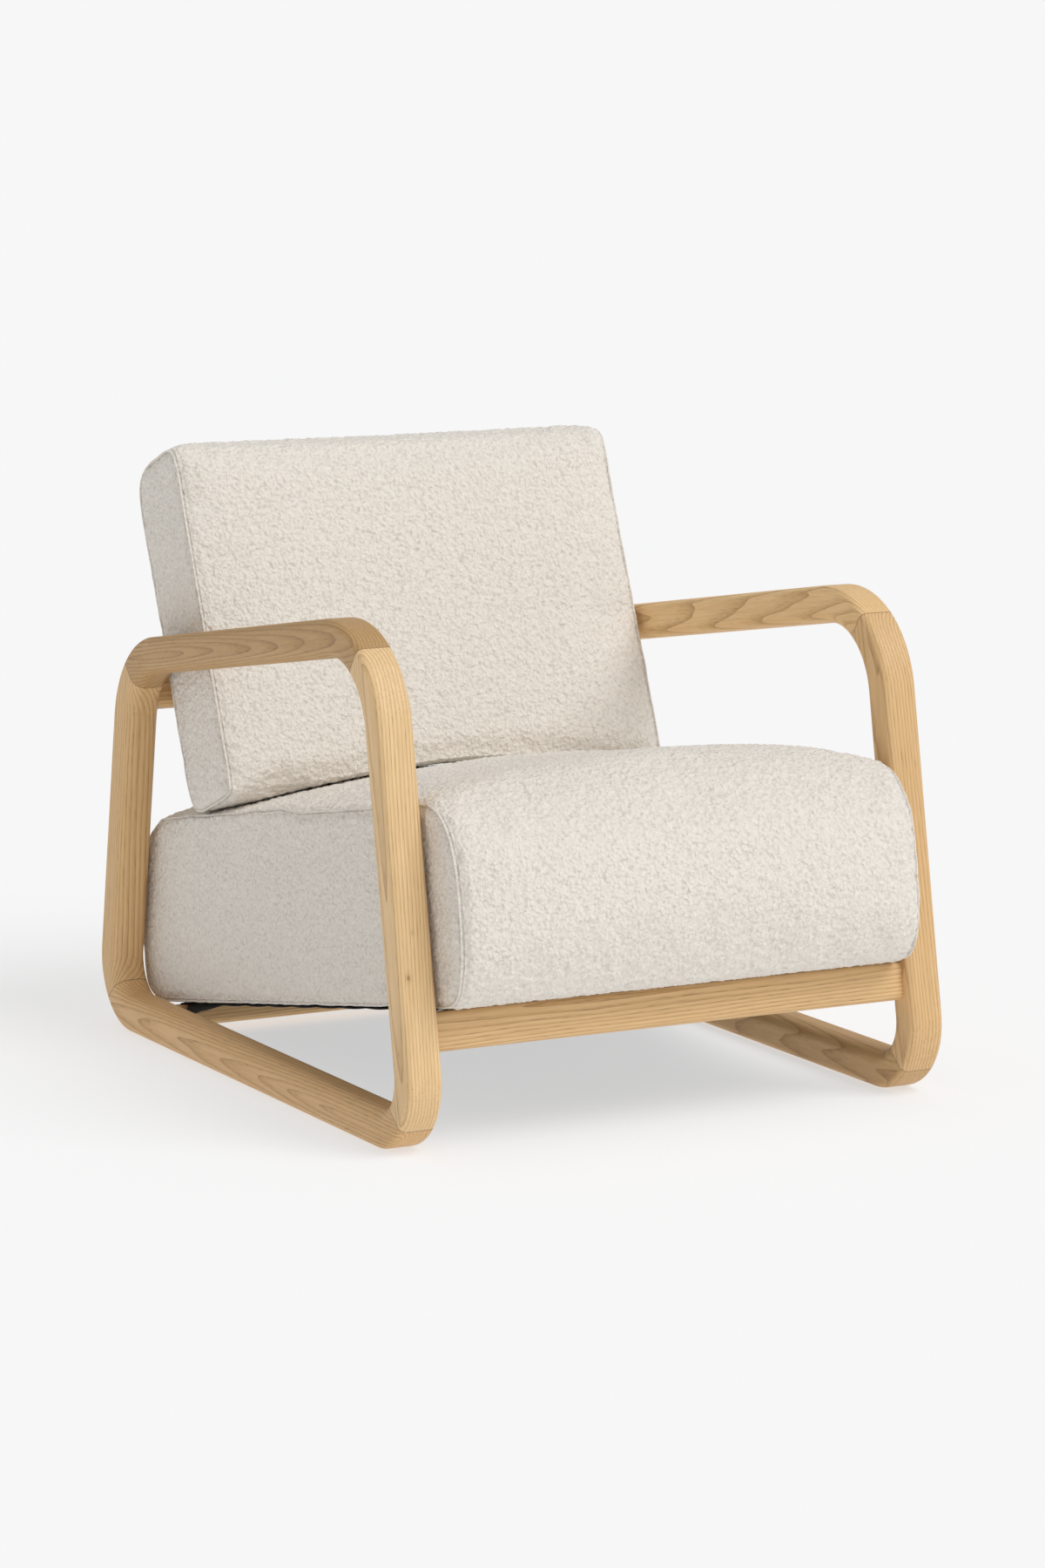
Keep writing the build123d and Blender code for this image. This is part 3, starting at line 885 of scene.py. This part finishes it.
back_cover = boucle("back_boucle")
back_seams = [seam_path(f"back_cover_{side}_panel") for side in ("left", "right")]
back_plain = np.stack(back_place(back_seams[0]), axis=1)
back_paths = [shape_back(path) for path in back_seams]
back_panels = ("back_cover_wrap", "back_cover_left_panel", "back_cover_right_panel")
back = closed_copy("back_cushion_cover", back_panels)
put_back(back, shape_back(coordinates(back)))
relax(back, 0.5, 4)
back_points = coordinates(back)
back_held = np.abs(back_points[:, 0]) > cushion_half - held_border
inflate(back, 4.0, back_swell, back_held, keep_back)
relax(back, 0.5, 6)
back_paths = [snapped(back, path, 0.0) for path in back_paths]
subdivided(back, 1)
pucker(back, back_paths, 0.0020, 0.020)
curl_surface(back, curl_size, 0.0032)
put_back(back, keep_back(coordinates(back)))
back.data.materials.append(back_cover)
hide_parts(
    "back_cover_wrap",
    "back_cover_left_panel",
    "back_cover_right_panel",
    "back_foam_core",
    "back_foam_backing",
    "back_stiffener_board",
)
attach(back, "back_cushion")
for side, path in zip(("left", "right"), back_paths):
    ridge = welt(f"back_{side}_seam", snapped(back, path, -seam_rise), seam_radius, back_cover)
    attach(ridge, "back_cushion")

# Zips
# Each cover closes at its rear with a nylon coil zip: two woven tapes, a row of interlocked coil
# turns along each, and a nickel slider with a flat pull, set in a slot between the cover's edges.
zip_length = 0.440
tape_length = 0.460
tape_width = 0.0125
tape_wall = 0.0006
tape_middle = 0.0067
tape_level = -0.0036
coil_pitch = 0.0022
coil_turn = (coil_pitch * 0.46, 0.0034, 0.0014)
coil_middle = 0.0009
coil_level = -0.0024
stitch_size = (0.0016, 0.0004, 0.0004)
stitch_middle = 0.0033
slider_x = 0.212
hole_radius = 0.0013
hole_place = (slider_x, 0.0172, 0.0012)

tape_dark = (0.62, 0.57, 0.49, 1)
tape_light = (0.78, 0.73, 0.65, 1)
tape, tape_tree, tape_surface, tape_place = new_finish("zip_tape")
tape_wave = {"Vector": tape_place, "Scale": 260.0}
tape_ribs = add(tape_tree, "ShaderNodeTexWave", tape_wave, bands_direction="X").outputs["Fac"]
tape_colour = mix(tape_tree, tape_ribs, tape_dark, tape_light)
surfaced(tape_tree, tape_surface, tape_colour, tape_ribs, 0.6, 0.0005)
tape_surface.inputs["Roughness"].default_value = 0.8

nickel_light = (0.66, 0.63, 0.58, 1)
nickel_dark = (0.50, 0.47, 0.43, 1)
nickel = metal("satin_nickel", nickel_light, nickel_dark, (900.0, 3.0), (0.25, 0.42))


def block(size, place, rounding):
    """A small bar with its edges rounded over."""
    bpy.ops.object.select_all(action="DESELECT")
    bpy.ops.mesh.primitive_cube_add(size=1, location=place, scale=size)
    piece = bpy.context.object
    bpy.ops.object.transform_apply(location=False, rotation=False, scale=True)
    soft = piece.modifiers.new("rounding", "BEVEL")
    soft.width = rounding
    soft.segments = 1
    bpy.ops.object.modifier_apply(modifier="rounding")
    return piece


def repeated(piece, count, step):
    """A row of one shape along the zip."""
    only(piece)
    row = piece.modifiers.new("row", "ARRAY")
    row.count = count
    row.use_relative_offset = False
    row.use_constant_offset = True
    row.constant_offset_displace = (step, 0, 0)
    bpy.ops.object.modifier_apply(modifier="row")
    return piece


def set_in(name, pieces, origin, across, outward, material):
    """Joins a zip's bars and sets them in the cover: x across the chair, y down, z outwards."""
    bpy.ops.object.select_all(action="DESELECT")
    for piece in pieces:
        piece.select_set(True)
    bpy.context.view_layer.objects.active = pieces[0]
    bpy.ops.object.join()
    joined = bpy.context.object
    joined.name = name
    bpy.ops.object.transform_apply(location=True, rotation=True, scale=True)
    down = Vector(outward).cross(across)
    turn = Matrix((across, down, outward)).transposed().to_4x4()
    joined.matrix_world = Matrix.Translation(origin) @ turn
    bpy.ops.object.transform_apply(location=True, rotation=True, scale=True)
    joined.data.materials.append(material)
    bpy.ops.object.shade_smooth_by_angle(angle=math.radians(35))
    return joined


def zip_chain(name, origin, outward):
    """Two tapes and their coil turns, which stand between each other like closed teeth."""
    turns = int(zip_length / coil_pitch)
    bars = []
    for side in (-1, 1):
        place = (0, side * tape_middle, tape_level)
        bars.append(block((tape_length, tape_width, tape_wall), place, 0.0002))
    for side in (-1, 1):
        start = -zip_length / 2 + coil_pitch * (0.5 + 0.25 * side)
        turn = block(coil_turn, (start, side * coil_middle, coil_level), 0.0004)
        bars.append(repeated(turn, turns, coil_pitch))
        place = (-zip_length / 2 + 0.001, side * stitch_middle, tape_level + 0.0004)
        bars.append(repeated(block(stitch_size, place, 0.0001), turns, coil_pitch))
    return set_in(name, bars, origin, Vector((1, 0, 0)), outward, tape)


def zip_slider(name, origin, outward):
    """A slider body that narrows behind, its bridge, and a flat pull with a hole for a cord."""
    body = block((0.012, 0.0078, 0.0013), (slider_x, 0, -0.00035), 0.0004)
    for vertex in body.data.vertices:
        if vertex.co.x < 0:
            vertex.co.y *= 0.74
    bridge = block((0.0075, 0.0018, 0.0010), (slider_x, 0, 0.0007), 0.0003)
    pull = block((0.005, 0.022, 0.0009), (slider_x, 0.0090, 0.00125), 0.0003)
    bpy.ops.mesh.primitive_cylinder_add(
        vertices=20, radius=hole_radius, depth=0.004, location=hole_place
    )
    hole = bpy.context.object
    only(pull)
    drilled = pull.modifiers.new("hole", "BOOLEAN")
    drilled.object = hole
    drilled.operation = "DIFFERENCE"
    bpy.ops.object.modifier_apply(modifier="hole")
    bpy.data.objects.remove(hole)
    return set_in(name, [body, bridge, pull], origin, Vector((1, 0, 0)), outward, nickel)


seat_zip_place = deck_origin + deck_run * seat_zip_face + deck_up * seat_zip_height
back_zip_place = back_origin + back_rearward * back_zip_face - back_up * back_zip_drop
zip_places = {
    "seat": (seat_zip_place, deck_run, "seat_cushion"),
    "back": (back_zip_place, back_rearward, "back_cushion"),
}
for cushion, (origin, outward, body) in zip_places.items():
    chain = zip_chain(f"{cushion}_zip_chain", origin, outward)
    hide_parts(f"{cushion}_zip")
    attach(chain, body)
    slider = zip_slider(f"{cushion}_zip_pull_tab", origin, outward)
    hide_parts(f"{cushion}_zip_slider")
    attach(slider, f"{cushion}_zip_pull")

# Floor, light and camera
# The chair stands on a plain pale floor under a white sky, in broad soft light from above, the
# front and the right. The camera stands well back at the front left.
bpy.ops.mesh.primitive_plane_add(size=900, location=(0, 0, 0))
floor = bpy.context.object
floor.name = "floor"
floor_paint = bpy.data.materials.new("floor_paint")
floor_paint.use_nodes = True
floor_surface = floor_paint.node_tree.nodes["Principled BSDF"]
floor_surface.inputs["Base Color"].default_value = (0.42, 0.42, 0.424, 1)
floor_surface.inputs["Emission Color"].default_value = (1.0, 1.0, 1.0, 1)
floor_surface.inputs["Emission Strength"].default_value = 0.57
floor_surface.inputs["Roughness"].default_value = 1.0
floor_surface.inputs["Specular IOR Level"].default_value = 0.0
floor.data.materials.append(floor_paint)
floor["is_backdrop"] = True

sky = bpy.data.worlds.new("studio")
sky.use_nodes = True
sky.node_tree.nodes["Background"].inputs["Color"].default_value = (1.0, 1.0, 1.0, 1)
sky.node_tree.nodes["Background"].inputs["Strength"].default_value = 0.50
scene.world = sky

key_tilt, key_azimuth = math.radians(41), math.radians(32)
bpy.ops.object.light_add(type="SUN", location=(2, -3, 4))
key = bpy.context.object
key.name = "key"
key.data.energy = 1.50
key.data.angle = math.radians(38)
key.rotation_euler = (key_tilt, 0, key_azimuth)

camera_elevation, camera_azimuth = math.radians(9.322), math.radians(-27.935)
bpy.ops.object.camera_add(location=(-2.7105, -5.14066, 1.2907))
camera = bpy.context.object
camera.name = "camera"
camera.rotation_euler = (math.pi / 2 - camera_elevation, 0, camera_azimuth)
camera.data.lens = 112.76
camera.data.sensor_width = 36
camera.data.clip_end = 2000
scene.camera = camera
scene.view_settings.view_transform = "Standard"

low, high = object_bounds()
